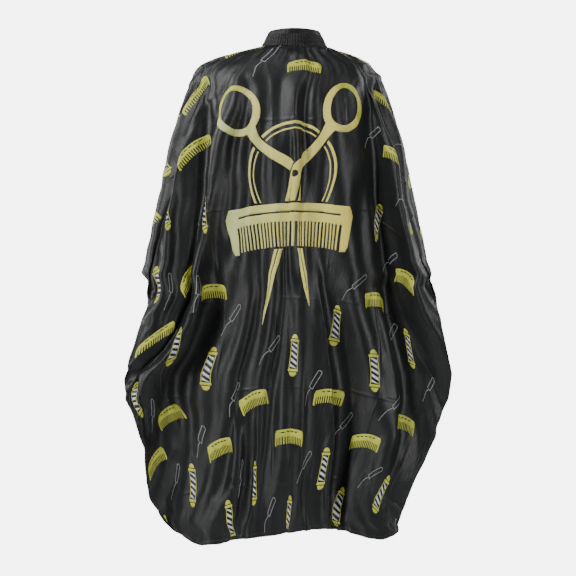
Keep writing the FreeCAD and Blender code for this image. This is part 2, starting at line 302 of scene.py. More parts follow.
def hang(flat, faces, hole):
    """Lets the cut settle over the form under its own weight."""
    start = folded_bell(flat)
    on_slit = (np.abs(flat[:, 0]) < 1e-6) & (flat[:, 1] < 0)
    left = np.zeros(len(flat), bool)
    for face in faces:
        if flat[face, 0].min() < -1e-6:
            left[face] = True
    start[on_slit, 0] += np.where(left[on_slit], -SLIT_HALF, SLIT_HALF)
    start += np.random.default_rng(SHAKE_SEED).normal(0, 0.0004, start.shape)
    form = hanging_form()
    cloth = mesh_object("hanging_cloth", start, faces)
    cloth.shape_key_add(name="Basis")
    cut = cloth.shape_key_add(name="cut")
    laid = np.stack([flat[:, 0], -flat[:, 1], np.zeros(len(flat))], axis=1)
    cut.data.foreach_set("co", laid.astype(np.float32).ravel())
    cloth.vertex_groups.new(name="neckline").add([int(i) for i in hole], 1.0, "REPLACE")
    settle = cloth.modifiers.new("settle", "CLOTH")
    cloth_set = settle.settings
    cloth_set.rest_shape_key = cut
    cloth_set.vertex_group_mass = "neckline"
    cloth_set.quality = 6
    cloth_set.mass = 0.08
    cloth_set.tension_stiffness, cloth_set.compression_stiffness = 15, 40
    cloth_set.shear_stiffness = 5
    cloth_set.bending_stiffness = 0.02
    cloth_set.tension_damping = cloth_set.compression_damping = cloth_set.shear_damping = 4
    cloth_set.bending_damping = 0.5
    cloth_set.air_damping = 2
    settle.collision_settings.collision_quality = 3
    settle.collision_settings.distance_min = CLOTH_CLEAR
    settle.collision_settings.use_self_collision = False
    settle.point_cache.frame_end = SETTLE_FRAMES
    scene = bpy.context.scene
    scene.frame_end = SETTLE_FRAMES
    for number in range(1, SETTLE_FRAMES + 1):
        scene.frame_set(number)
    settled = cloth.evaluated_get(bpy.context.evaluated_depsgraph_get()).data
    hung = np.zeros(len(flat) * 3, np.float32)
    settled.vertices.foreach_get("co", hung)
    for body in form + [cloth]:
        bpy.data.objects.remove(body, do_unlink=True)
    scene.frame_set(1)
    return hung.reshape(-1, 3).astype(float)


def refine(hung, flat, faces):
    """One smooth subdivision of the hung cloth, its flat coordinates carried along."""
    piece = mesh_object("refining", hung, faces)
    carried = piece.data.attributes.new("flat", "FLOAT_VECTOR", "POINT")
    laid = np.column_stack([flat, np.zeros(len(flat))])
    carried.data.foreach_set("vector", laid.astype(np.float32).ravel())
    smooth = piece.modifiers.new("smooth", "SUBSURF")
    smooth.levels = smooth.render_levels = 1
    apply_modifiers(piece)
    mesh = piece.data
    count = len(mesh.vertices)
    points, carried = np.zeros(count * 3, np.float32), np.zeros(count * 3, np.float32)
    mesh.vertices.foreach_get("co", points)
    mesh.attributes["flat"].data.foreach_get("vector", carried)
    quads = [tuple(face.vertices) for face in mesh.polygons]
    bpy.data.objects.remove(piece, do_unlink=True)
    return points.reshape(-1, 3).astype(float), carried.reshape(-1, 3)[:, :2].astype(float), quads


def point_normals(points, faces):
    mesh = bpy.data.meshes.new("measuring")
    mesh.from_pydata(points.tolist(), [], faces)
    mesh.update()
    normals = np.zeros(len(points) * 3, np.float32)
    mesh.vertices.foreach_get("normal", normals)
    bpy.data.meshes.remove(mesh)
    return normals.reshape(-1, 3).astype(float)


# ---- folds, gathers and outline ---------------------------------------------------------------
def ridge(phase, sharp):
    """A wave between -1 and 1 with narrow ridges and wide hollows as sharp grows."""
    wave = 0.5 + 0.5 * np.cos(phase)
    return 2 * wave ** sharp - 1


def fold_heights(flat):
    """How far the small folds lift the cloth: gathers at the band, then longer and wider folds."""
    u, v = flat[:, 0], flat[:, 1]
    reach = np.hypot(u, v)
    turn = np.arctan2(u, v)
    past = reach - HOLE
    lift = np.zeros(len(flat))
    for waves, start, full, fade, end, height, sharp, seed in SMALL_FOLDS:
        phase = waves * turn + 1.6 * wander(turn * 2.2, seed)
        phase = phase + 0.8 * wander(reach * 7 + turn * 3, seed + 30, 3)
        strong = smooth_step(past, start, full) * (1 - smooth_step(past, fade, end))
        patchy = 0.62 + 0.38 * wander(reach * 5 + 2.3 * wander(turn * 4, seed + 60, 3), seed + 90, 4)
        lift += height * strong * patchy * ridge(phase, sharp)
    for start, end, height, wide, drop in LONG_FOLDS:
        start, end = np.array(start), np.array(end)
        length = np.hypot(*(end - start))
        ahead = (end - start) / length
        along = (flat - start) @ ahead / length
        aside = (flat - start) @ np.array([ahead[1], -ahead[0]])
        aside = aside + 0.006 * wander(along * 5, int(length * 100), 3)
        fade = smooth_step(along, -0.05, 0.25) * (1 - smooth_step(along, 0.80, 1.10))
        hump = np.where(aside < 0, np.exp(-(aside / wide) ** 2), np.exp(-(aside / (wide * drop)) ** 2))
        hollow = np.exp(-((aside - wide * (drop + 0.9)) / (wide * 0.8)) ** 2)
        lift += height * fade * (hump - 0.6 * hollow)
    return lift


# small folds: waves in a whole turn, start, full, where they begin to end, end, height, sharpness, seed
SMALL_FOLDS = [(44, -0.01, 0.0, 0.05, 0.19, 0.0030, 1.5, 5), (30, 0.02, 0.08, 0.15, 0.42, 0.0015, 1.5, 6),
               (19, 0.12, 0.35, 0.80, 1.60, 0.0040, 1.6, 7), (34, 0.35, 0.70, 1.10, 1.60, 0.0014, 1.8, 8),
               (61, 0.55, 0.85, 1.20, 1.60, 0.0004, 1.5, 9)]
# long folds: ends on the cut, how far they stand out, half width, how sharply they drop on their right
LONG_FOLDS = [((0.012, 0.15), (0.016, 0.74), 0.015, 0.018, 0.7),
              ((0.100, 0.66), (0.270, 1.34), 0.030, 0.050, 0.30),
              ((-0.115, 0.20), (-0.215, 0.66), 0.008, 0.022, 0.6),
              ((0.115, 0.18), (0.200, 0.60), 0.007, 0.022, 1.2),
              ((-0.12, 0.66), (-0.24, 1.26), 0.012, 0.040, 0.6),
              ((0.33, 0.66), (0.46, 1.20), 0.012, 0.034, 0.7),
              ((-0.30, 0.50), (-0.42, 1.05), 0.012, 0.036, 0.5),
              ((0.00, 0.90), (0.04, 1.40), 0.009, 0.036, 1.4)]

# the hanging cape's outline, to the nearest 5 mm: height, left side, right side
OUTLINE = [(-0.020, -0.180, 0.145), (-0.050, -0.235, 0.190), (-0.085, -0.255, 0.215),
           (-0.225, -0.300, 0.260), (-0.555, -0.370, 0.330), (-0.600, -0.350, 0.340),
           (-0.790, -0.410, 0.380), (-0.850, -0.410, 0.375), (-0.980, -0.365, 0.330),
           (-1.090, -0.355, 0.280), (-1.160, -0.320, 0.255), (-1.185, -0.290, 0.255)]
OUTLINE_STEPS = 40
NARROWEST, WIDEST = 0.75, 1.35                    # how much a side may be narrowed or widened
EYE = Vector((-0.0157, -3.6, -0.597))             # the camera
OUTLINE_AWAY, OUTLINE_LEVEL = 3.5, -0.59          # the outline's distance, and its height before the camera


def seen(points):
    """Where points are seen, carried onto the outline's plane."""
    scale = OUTLINE_AWAY / (points[:, 1] - EYE.y)
    return EYE.x + (points[:, 0] - EYE.x) * scale, OUTLINE_LEVEL + (points[:, 2] - EYE.z) * scale


def lay_neck(points):
    """Lets the cloth fall away from the neckline instead of standing up beside the band."""
    out = np.hypot(points[:, 0], points[:, 1])
    against = np.maximum(np.hypot(points[:, 0] / NECK_WIDE, points[:, 1] / NECK_DEEP), 1e-6)
    past = np.clip(out * (1 - 1 / against), 0, None)
    shoulder_slope = 0.24
    highest = NECK_SLOPE * points[:, 1] / np.maximum(against, 1) - 0.0005 - shoulder_slope * past
    above = np.clip(points[:, 2] - highest, 0, None)
    share = 0.95 - 0.25 * smooth_step(past, 0.05, 0.12)
    near = smooth_step(past, 0.0, 0.004) * (1 - smooth_step(past, 0.14, 0.20))
    laid = points.copy()
    laid[:, 2] -= above * share * near
    return laid


def fit_outline(points):
    """Widens or narrows each side, height by height, until it has the hanging cape's outline."""
    across, height = seen(points)
    drop, left_side, right_side = np.array(OUTLINE[::-1]).T
    levels = np.linspace(drop[0], drop[-1], OUTLINE_STEPS)
    sides = (np.interp(levels, drop, side) for side in (left_side, right_side))
    left, right = [], []
    for level, low, high in zip(levels, *sides):
        here = np.abs(height - level) < 0.014
        left.append(low / min(across[here].min(), -0.02) if here.any() else 1.0)
        right.append(high / max(across[here].max(), 0.02) if here.any() else 1.0)
    grow = [np.clip(np.interp(height, levels, side), NARROWEST, WIDEST) for side in (left, right)]
    share = smooth_step(across, -0.04, 0.04)
    factor = grow[0] * (1 - share) + grow[1] * share
    near = smooth_step(-height, -0.002, 0.02)
    fitted = points.copy()
    fitted[:, 0] *= 1 + (factor - 1) * near
    return fitted


# the front hem, to the nearest 5 mm: across, height
HEM_LINE = [(-0.345, -1.120), (-0.285, -1.190), (-0.215, -1.215), (-0.140, -1.200), (0.000, -1.180),
            (0.090, -1.170), (0.150, -1.190), (0.235, -1.200), (0.265, -1.140)]


def fit_hem(points):
    """Lengthens or shortens the lower front until its hem runs as it should."""
    across, height = seen(points)
    stations = np.linspace(HEM_LINE[0][0], HEM_LINE[-1][0], 40)
    lowest = np.array([height[np.abs(across - x) < 0.012].min() for x in stations])
    shift = np.interp(stations, *zip(*HEM_LINE)) - lowest
    shift = np.convolve(np.pad(shift, 2, mode="edge"), np.ones(5) / 5, mode="valid")
    fitted = points.copy()
    fitted[:, 2] += np.interp(across, stations, shift) * smooth_step(-height, 0.70, 1.20)
    return fitted


def cross(a, b, c):
    """Twice the area of flat triangles a, b, c, with its sign."""
    return (b[:, 0] - a[:, 0]) * (c[:, 1] - a[:, 1]) - (c[:, 0] - a[:, 0]) * (b[:, 1] - a[:, 1])


class HungCloth:
    """The hung cloth, with the flat cut that each point came from."""

    def __init__(self):
        flat, faces, hole = flat_cut()
        points, self.flat, quads = refine(hang(flat, faces, hole), flat, faces)
        points = lay_neck(points)
        normals = point_normals(points, quads)
        if (normals[:, :2] * points[:, :2]).sum() < 0:
            quads = [quad[::-1] for quad in quads]
            normals = -normals
        points += normals * fold_heights(self.flat)[:, None]
        self.points = fit_outline(fit_hem(fit_outline(points)))
        self.triangles = [half for a, b, c, d in quads for half in ((a, b, c), (a, c, d))]
        self.normals = point_normals(self.points, self.triangles)
        self.corners = np.array(self.triangles)
        self.lookup = BVHTree.FromPolygons([Vector((u, v, 0)) for u, v in self.flat], self.triangles)
        self.flat_low = self.flat[self.corners].min(axis=1)
        self.flat_high = self.flat[self.corners].max(axis=1)

    def carry(self, places, lift):
        """Where places of the cut lie on the hung cloth, lifted off its face, and the normals there."""
        found = [self.lookup.find_nearest((u, v, 0)) for u, v in places]
        spot = np.array([hit[0][:2] for hit in found])
        corners = self.corners[[hit[2] for hit in found]]
        a, b, c = (self.flat[corners[:, k]] for k in range(3))
        whole = cross(a, b, c)
        wb, wc = cross(a, spot, c) / whole, cross(a, b, spot) / whole
        weights = np.stack([1 - wb - wc, wb, wc], axis=1)[:, :, None]
        place = (self.points[corners] * weights).sum(axis=1)
        normal = (self.normals[corners] * weights).sum(axis=1)
        normal /= np.maximum(np.linalg.norm(normal, axis=1), 1e-9)[:, None]
        return place + normal * lift, normal

    def outside_cut(self, places):
        return np.array([self.lookup.find_nearest((u, v, 0))[3] > 1e-5 for u, v in places])


# ---- materials --------------------------------------------------------------------------------
class Shader:
    """A material's nodes, made one call at a time."""

    def __init__(self, name, **surface):
        self.material = bpy.data.materials.new(name)
        self.material.use_nodes = True
        self.tree = self.material.node_tree
        self.tree.nodes.clear()
        self.out = self.tree.nodes.new("ShaderNodeOutputMaterial")
        self.surface = self.tree.nodes.new("ShaderNodeBsdfPrincipled")
        self.tree.links.new(self.surface.outputs[0], self.out.inputs["Surface"])
        for key, value in surface.items():
            self.surface.inputs[key.replace("_", " ")].default_value = value

    def add(self, kind, settings=None, **inputs):
        made = self.tree.nodes.new("ShaderNode" + kind)
        for key, value in (settings or {}).items():
            setattr(made, key, value)
        for key, value in inputs.items():
            numbered = key[0] == "i" and key[1:].isdigit()
            socket = made.inputs[int(key[1:]) if numbered else key.replace("_", " ")]
            if isinstance(value, bpy.types.NodeSocket):
                self.tree.links.new(value, socket)
            else:
                socket.default_value = value
        return made

    def math(self, what, a, b=0.0):
        return self.add("Math", {"operation": what}, i0=a, i1=b).outputs[0]

    def span(self, value, low, high, first=0.0, last=1.0, kind="LINEAR"):
        """Carries a value from low..high onto first..last."""
        return self.add("MapRange", {"interpolation_type": kind}, Value=value, From_Min=low, From_Max=high,
                        To_Min=first, To_Max=last).outputs[0]

    def object_place(self):
        return self.add("TexCoord").outputs["Object"]

    def cut_place(self):
        """The flat cut's coordinates, in metres."""
        return self.add("UVMap", {"uv_map": "cut"}).outputs[0]

    def ramp(self, value, stops):
        made = self.add("ValToRGB", Fac=value)
        line = made.color_ramp.elements
        while len(line) < len(stops):
            line.new(0.5)
        for stop, (place, colour) in zip(line, stops):
            stop.position = place
            stop.color = (*colour, 1)
        return made.outputs["Color"]

    def noise(self, place, scale, detail=3.0, rough=0.5, distortion=0.0):
        return self.add("TexNoise", Vector=place, Scale=scale, Detail=detail, Roughness=rough,
                        Distortion=distortion).outputs["Fac"]

    def stretched(self, place, scale, turn=0.0):
        return self.add("Mapping", Vector=place, Scale=scale, Rotation=(0, 0, turn)).outputs[0]

    def link(self, value, socket):
        self.tree.links.new(value, self.surface.inputs[socket])

    def bump(self, height, distance, strength=1.0, after=None):
        made = self.add("Bump", Height=height, Distance=distance, Strength=strength)
        if after is not None:
            self.tree.links.new(after, made.inputs["Normal"])
        return made.outputs["Normal"]


def cloth_relief(shader, place):
    """Small crumples, the creases that packing left, the gathers at the band, and the weave."""
    rumple = shader.noise(shader.stretched(place, (9.0, 3.2, 1.0)), 1.0, 4.0, 0.55, 0.6)
    normal = shader.bump(rumple, 0.0034, 0.45)
    crumple = shader.noise(shader.stretched(place, (26.0, 14.0, 1.0), 0.5), 1.0, 3.0, 0.6, 1.2)
    normal = shader.bump(crumple, 0.0022, 0.5, normal)
    u, v = (shader.add("SeparateXYZ", Vector=place).outputs[k] for k in (0, 1))
    shaky = shader.math("MULTIPLY", shader.noise(place, 5.0, 2.0), 0.016)
    for value, pitch, where in ((u, 0.19, 0.04), (v, 0.215, 0.10)):
        moved = shader.math("ADD", shader.math("ADD", value, shaky), where + pitch * 20)
        apart = shader.math("PINGPONG", moved, pitch / 2)
        line = shader.span(apart, 0.0, 0.0065, 1.0, 0.0, "SMOOTHSTEP")
        patch = shader.span(shader.noise(place, 4.2, 2.0), 0.42, 0.60, kind="SMOOTHSTEP")
        normal = shader.bump(shader.math("MULTIPLY", line, patch), 0.0016, 0.6, normal)
    turned = shader.math("MULTIPLY", shader.math("ARCTAN2", u, v), 84.0)
    turned = shader.math("ADD", turned, shader.math("MULTIPLY", shader.noise(place, 16.0, 2.0), 9.0))
    reach = shader.add("VectorMath", {"operation": "LENGTH"}, i0=place).outputs["Value"]
    near = shader.span(reach, HOLE + 0.015, HOLE + 0.105, 1.0, 0.0, "SMOOTHSTEP")
    normal = shader.bump(shader.math("MULTIPLY", shader.math("SINE", turned), near), 0.0011, 0.7, normal)
    threads = [shader.math("SINE", shader.math("MULTIPLY", value, 6400.0)) for value in (u, v)]
    return shader.bump(shader.math("MULTIPLY", *threads), 0.00004, 0.5, normal)


def satin_cloth():
    shader = Shader("black satin polyester", Roughness=0.40, Specular_IOR_Level=0.38, Sheen_Weight=0.04,
                    Sheen_Roughness=0.45)
    shader.surface.inputs["Sheen Tint"].default_value = (0.75, 0.80, 0.85, 1)
    place = shader.cut_place()
    tone = shader.noise(place, 6.0, 3.0)
    blacks = [(0.3, (0.0100, 0.0106, 0.0112)), (0.7, (0.0155, 0.0162, 0.0170))]
    shader.link(shader.ramp(tone, blacks), "Base Color")
    shader.link(shader.span(shader.noise(place, 14.0, 4.0), 0.3, 0.7, 0.34, 0.45), "Roughness")
    shader.link(cloth_relief(shader, place), "Normal")
    return shader.material


def printed_ink(name, big, small, roughness=0.5):
    """Ink on the cloth, worn thin in specks. The big motif runs through the first colours from its left
    to its right, and the small motifs have the second ones."""
    shader = Shader(name, Roughness=roughness, Specular_IOR_Level=0.4)
    place = shader.cut_place()
    u, v = (shader.add("SeparateXYZ", Vector=place).outputs[k] for k in (0, 1))
    speckle = shader.math("SUBTRACT", shader.noise(place, 90.0, 4.0), 0.5)
    across = shader.span(u, -0.22, 0.22)
    large = shader.ramp(shader.math("ADD", across, shader.math("MULTIPLY", speckle, 0.3)), big)
    little = shader.ramp(shader.noise(place, 22.0, 3.0), small)
    wide = shader.math("POWER", shader.math("DIVIDE", u, 0.245), 2.0)
    tall = shader.math("POWER", shader.math("DIVIDE", shader.math("SUBTRACT", v, 0.53), 0.32), 2.0)
    out = shader.span(shader.math("ADD", wide, tall), 0.98, 1.02)
    mixed = shader.add("Mix", {"data_type": "RGBA"}, i0=out, i6=large, i7=little)
    shader.link(mixed.outputs[2], "Base Color")
    shader.link(cloth_relief(shader, place), "Normal")
    return shader.material


def band_fabric(name, tone=1.0):
    shader = Shader(name, Roughness=0.5, Specular_IOR_Level=0.34, Sheen_Weight=0.02, Sheen_Roughness=0.5)
    place = shader.object_place()
    cloud = shader.noise(place, 60.0, 4.0)
    low, high = 0.0022 * tone, 0.0060 * tone
    shader.link(shader.ramp(cloud, [(0.3, (low, low, low)), (0.7, (high, high, high * 1.03))]), "Base Color")
    fine = shader.noise(shader.stretched(place, (1.0, 1.0, 0.35)), 900.0, 2.0)
    shader.link(shader.bump(fine, 0.0002, 0.5), "Normal")
    return shader.material


def thread_material():
    shader = Shader("black polyester thread", Roughness=0.45, Specular_IOR_Level=0.5)
    place = shader.object_place()
    twist = shader.noise(place, 2500.0, 2.0)
    blacks = [(0.35, (0.010, 0.010, 0.011)), (0.7, (0.035, 0.035, 0.038))]
    shader.link(shader.ramp(twist, blacks), "Base Color")
    shader.link(shader.bump(twist, 0.0001, 0.5), "Normal")
    return shader.material


def plated_metal():
    shader = Shader("nickel plated snap", Metallic=1.0, Roughness=0.28)
    place = shader.object_place()
    wear = shader.noise(place, 420.0, 5.0, 0.6)
    shader.link(shader.ramp(wear, [(0.3, (0.42, 0.41, 0.39)), (0.7, (0.60, 0.59, 0.57))]), "Base Color")
    shader.link(shader.span(wear, 0.3, 0.7, 0.20, 0.38), "Roughness")
    shader.link(shader.bump(shader.noise(place, 1500.0, 2.0), 0.00006, 0.4), "Normal")
    return shader.material


def interlining():
    shader = Shader("white interlining", Roughness=0.9)
    place = shader.object_place()
    fibre = shader.noise(place, 700.0, 4.0)
    shader.link(shader.ramp(fibre, [(0.3, (0.50, 0.50, 0.48)), (0.7, (0.68, 0.68, 0.66))]), "Base Color")
    shader.link(shader.bump(fibre, 0.0002, 0.6), "Normal")
    return shader.material


def elastic_webbing():
    shader = Shader("black woven elastic", Roughness=0.75)
    place = shader.object_place()
    height = shader.add("SeparateXYZ", Vector=place).outputs[2]
    rib = shader.math("SINE", shader.math("MULTIPLY", height, 4200.0))
    shader.link(shader.ramp(rib, [(0.2, (0.012, 0.012, 0.012)), (0.8, (0.04, 0.04, 0.04))]), "Base Color")
    shader.link(shader.bump(rib, 0.0002, 0.6), "Normal")
    return shader.material


# ---- pieces that follow the flat cut ----------------------------------------------------------
def add_cut_map(mesh, flat):
    """The flat cut's coordinates as the piece's own map."""
    layer = mesh.uv_layers.new(name="cut")
    corners = np.zeros(len(mesh.loops), np.int32)
    mesh.loops.foreach_get("vertex_index", corners)
    layer.data.foreach_set("uv", flat[corners].astype(np.float32).ravel())


def thicken(piece, thick, offset=-1.0):
    shell = piece.modifiers.new("thickness", "SOLIDIFY")
    shell.thickness, shell.offset = thick, offset
    shell.use_even_offset = False
    apply_modifiers(piece)


def make_cape(cloth):
    piece = mesh_object("cape", cloth.points, cloth.triangles)
    add_cut_map(piece.data, cloth.flat)
    thicken(piece, CLOTH_THICK)
    piece.data.materials.append(satin_cloth())
    return piece


def border(cloth, spacing):
    """The cut's border without the neck hole, as evenly spaced places with their inward directions."""
    onward = {}
    for a, b, c in cloth.triangles:
        for start, end in ((a, b), (b, c), (c, a)):
            onward[(start, end)] = onward.get((start, end), 0) + 1
    edge = {start: end for start, end in onward if (end, start) not in onward}
    first = min(edge, key=lambda i: abs(np.hypot(*cloth.flat[i]) - HOLE))
    loop, here = [first], edge[first]
    while here != first:
        loop.append(here)
        here = edge[here]
    places = cloth.flat[loop]
    outside = np.hypot(places[:, 0], places[:, 1]) > HOLE + 0.002
    breaks = np.flatnonzero(outside & ~np.roll(outside, 1))
    places = np.roll(places, -breaks[0], axis=0)
    outside = np.roll(outside, -breaks[0])
    run = places[:int(np.argmin(outside))] if not outside.all() else places
    length = np.concatenate([[0], np.cumsum(np.hypot(*np.diff(run, axis=0).T))])
    steps = np.linspace(0, length[-1], int(length[-1] / spacing))
    even = np.stack([np.interp(steps, length, run[:, k]) for k in (0, 1)], axis=1)
    ahead = np.gradient(even, axis=0)
    ahead /= np.maximum(np.hypot(ahead[:, 0], ahead[:, 1]), 1e-9)[:, None]
    inward = np.stack([-ahead[:, 1], ahead[:, 0]], axis=1)
    probe = even + inward * 0.004
    if np.mean(cloth.outside_cut(probe)) > 0.5:
        inward = -inward
    return even, inward


HEM_WIDE = 0.010
# the turned hem's section: inwards from the border, off the cloth's face
HEM_SECTION = [(0.0100, 0.00012), (0.0090, 0.00045), (0.0050, 0.00062), (0.0008, 0.00060),
               (-0.0006, 0.00020), (-0.0008, -0.00045), (0.0004, -0.00105), (0.0050, -0.00115),
               (0.0090, -0.00095), (0.0100, -0.00050)]


def strip_faces(rows, across, closed=False):
    """Quads between rows of points, row after row, each row running across."""
    last = across if closed else across - 1
    faces = []
    for row in range(rows - 1):
        here, above = row * across, (row + 1) * across
        faces += [(here + k, here + (k + 1) % across, above + (k + 1) % across, above + k)
                  for k in range(last)]
    return faces


def make_hem(cloth):
    """The narrow double-turned hem round the whole border."""
    places, inward = border(cloth, 0.006 * FINE)
    near, n0 = cloth.carry(places + inward * 0.0004, 0.0)
    far, n1 = cloth.carry(places + inward * HEM_WIDE, 0.0)
    around, count = len(HEM_SECTION), len(places)
    points, flat = [], []
    for inset, lift in HEM_SECTION:
        share = inset / HEM_WIDE
        normal = n0 * (1 - max(share, 0)) + n1 * max(share, 0)
        points.append(near + (far - near) * share + normal * lift)
        flat.append(places + inward * inset)
    points = np.stack(points, axis=1).reshape(-1, 3)
    flat = np.stack(flat, axis=1).reshape(-1, 2)
    faces = strip_faces(count, around, closed=True)
    faces += [tuple(range(around)), tuple(range((count - 1) * around, count * around))[::-1]]
    piece = mesh_object("hem", points, faces)
    recalculate(piece.data)
    add_cut_map(piece.data, flat)
    return piece


def stitches(name, runs, pitch, length, wide, high):
    """Thread stitches along runs of places and normals, each a short low bead of three squares."""
    bead = strip_faces(3, 4, closed=True) + [(3, 2, 1, 0), (8, 9, 10, 11)]
    points, faces = [], []
    for path, normals in runs:
        travelled = np.concatenate([[0], np.cumsum(np.linalg.norm(np.diff(path, axis=0), axis=1))])
        starts = np.arange(pitch / 2, travelled[-1] - length, pitch)
        at = starts[:, None] + np.array([0.0, 0.5, 1.0])[None, :] * length
        spot = np.stack([np.interp(at, travelled, path[:, k]) for k in range(3)], axis=-1)
        out = np.stack([np.interp(at, travelled, normals[:, k]) for k in range(3)], axis=-1)
        out /= np.maximum(np.linalg.norm(out, axis=-1, keepdims=True), 1e-9)
        along = spot[:, 2] - spot[:, 0]
        side = np.cross(along[:, None, :], out)
        side /= np.maximum(np.linalg.norm(side, axis=-1, keepdims=True), 1e-9)
        swell = np.array([0.35, 1.0, 0.35])[None, :, None]
        ring = [spot + side * wide / 2 * swell, spot + out * high * swell, spot - side * wide / 2 * swell,
                spot - out * high * 0.5 * swell]
        block = np.stack(ring, axis=2).reshape(-1, 12, 3)
        for beads in block:
            base = len(points)
            points.extend(beads)
            faces += [tuple(base + corner for corner in face) for face in bead]
    piece = mesh_object(name, points, faces)
    recalculate(piece.data)
    return piece


def hem_stitches(cloth):
    places, inward = border(cloth, 0.0016 * FINE)
    path, normals = cloth.carry(places + inward * 0.008, 0.00052)
    return stitches("hem_thread", [(path, normals)], 0.0034, 0.0026, 0.0007, 0.00035)


# ---- the print --------------------------------------------------------------------------------
# Shapes are loops of places on the cut; what is inside an odd number of loops is printed.
def arc(centre, radii, start, end, steps=24):
    turns = np.radians(np.linspace(start, end, steps))
    return [(centre[0] + radii[0] * math.cos(t), centre[1] + radii[1] * math.sin(t)) for t in turns]


def oval(centre, radii, turn=0.0, steps=40, lump=0.0):
    """An oval loop, turned, with a slight lump so that it isn't an exact ellipse."""
    c, s = math.cos(math.radians(turn)), math.sin(math.radians(turn))
    loop = []
    for t in np.linspace(0, 2 * math.pi, steps, endpoint=False):
        swell = 1 + lump * math.cos(3 * t + 0.6)
        x, y = radii[0] * math.cos(t) * swell, radii[1] * math.sin(t) * swell
        loop.append((centre[0] + x * c - y * s, centre[1] + x * s + y * c))
    return loop


def ribbon(path, widths):
    """A closed loop round a line, with a width at each of its places, and round ends."""
    path = np.array(path, float)
    ahead = np.gradient(path, axis=0)
    ahead /= np.maximum(np.hypot(ahead[:, 0], ahead[:, 1]), 1e-9)[:, None]
    side = np.stack([-ahead[:, 1], ahead[:, 0]], axis=1)
    half = np.array(widths, float)[:, None] / 2
    head, tail = path[-1], path[0]
    left, right = path + side * half, path - side * half
    cap = [head + math.cos(t) * side[-1] * half[-1] + math.sin(t) * ahead[-1] * half[-1]
           for t in np.linspace(0, math.pi, 7)[1:-1]]
    foot = [tail - math.cos(t) * side[0] * half[0] - math.sin(t) * ahead[0] * half[0]
            for t in np.linspace(0, math.pi, 7)[1:-1]]
    return [tuple(p) for p in list(left) + cap + list(right[::-1]) + foot]


def curve_through(places, steps=14):
    """A smooth line through a few places."""
    p = np.array([places[0]] + list(places) + [places[-1]], float)
    line = []
    for k in range(1, len(p) - 2):
        for t in np.linspace(0, 1, steps, endpoint=False):
            before, here, ahead, after = p[k - 1:k + 3]
            line.append(0.5 * (2 * here + (ahead - before) * t
                               + (2 * before - 5 * here + 4 * ahead - after) * t ** 2
                               + (3 * here - before - 3 * ahead + after) * t ** 3))
    line.append(p[-1])
    return np.array(line)


def comb_shape(long, high, teeth, bow=0.0, spine=0.42):
    """A plain comb lying along u, teeth towards +v, in one loop."""
    end, foot = long / 2, high / 2 + bow
    top = [(x, -high / 2 + bow * (2 * x / long) ** 2)
           for x in np.linspace(-end + high * 0.12, end - high * 0.12, 15)]
    rise = -high / 2 + high * spine
    right = [(end, -high * 0.30 + bow), (end, high * 0.40 + bow), (end - long * 0.012, foot),
             (end - long * 0.055, foot), (end - long * 0.06, rise + bow * 0.8)]
    left = [(-x, y) for x, y in reversed(right)]
    span = long * 0.86
    pitch = span / teeth
    fringe = []
    for k in range(teeth):
        x = span / 2 - pitch * (k + 0.25)
        lift = bow * (2 * x / long) ** 2
        foot = high / 2 + lift
        fringe += [(x, rise + lift), (x - 0.04 * pitch, foot), (x - 0.50 * pitch, foot),
                   (x - 0.54 * pitch, rise + lift)]
    return top + right + fringe + left


def placed(loops, centre, turn=0.0, size=1.0):
    c, s = math.cos(math.radians(turn)) * size, math.sin(math.radians(turn)) * size
    return [[(centre[0] + x * c - y * s, centre[1] + x * s + y * c) for x, y in loop] for loop in loops]


def small_comb():
    """A pocket comb with its spine bowed, and a row of short lines cut out of the spine."""
    long, bow, dash_long, dash_high = 0.108, 0.008, 0.0092, 0.0026
    body = comb_shape(long, 0.034, 15, bow=bow, spine=0.50)
    cuts = []
    for k in range(5):
        x = (k - 2) * 0.0135
        lift = bow * (2 * x / long) ** 2 - 0.0105
        cuts.append([(x + a * dash_long / 2, lift + b * dash_high / 2)
                     for a, b in ((-1, -1), (1, -1), (1, 1), (-1, 1))])
    return {"print_gold": [body] + cuts}


def small_pole():
    """A striped barber's pole between two turned caps."""
    collar = [(-0.0125, 0.0290), (0.0125, 0.0290), (0.0145, 0.0318), (0.0125, 0.0346), (-0.0125, 0.0346),
              (-0.0145, 0.0318)]
    rail = [(0.0102, -0.0290), (0.0122, -0.0290), (0.0122, 0.0290), (0.0102, 0.0290)]
    gold, white = [], []
    for end in (-1, 1):
        gold.append([(x, end * y) for x, y in collar])
        gold.append([(x, end * (0.0362 + y)) for x, y in arc((0, 0), (0.0100, 0.0092), 0, 180, 15)])
    for side in (-1, 1):
        gold.append([(side * x, y) for x, y in rail])
    wide, low, high = 0.0090, -0.0275, 0.0275
    for k in range(5):
        foot = low - 0.004 + k * 0.0125
        stripe = [(-wide, foot), (wide, foot + 0.0085), (wide, foot + 0.0145), (-wide, foot + 0.0060)]
        clipped = [(x, min(max(y, low), high)) for x, y in stripe]
        if max(y for _, y in clipped) - min(y for _, y in clipped) > 0.004:
            white.append(clipped)
    return {"print_gold": gold, "print_white": white}


def small_razor():
    """The outline of a straight razor, half open, in a thin line."""
    line = 0.0017
    blade = [(-0.006, -0.006), (0.034, -0.006), (0.037, 0.0), (0.034, 0.006), (-0.006, 0.006)]
    inner = [(-0.0045, -0.0043), (0.0332, -0.0043), (0.0352, 0.0), (0.0332, 0.0043), (-0.0045, 0.0043)]
    handle = ribbon(curve_through([(-0.007, 0.0), (-0.022, -0.003), (-0.044, 0.003)]), [line] * 29)
    return {"print_grey": [blade, inner, handle]}


# the big scissors on the cut: ring centres, crossing, where the blades end
SCISSORS = {"left ring": (-0.133, 0.300), "right ring": (0.140, 0.291), "crossing": (0.018, 0.452),
            "left tip": (-0.105, 0.815), "right tip": (0.078, 0.770)}


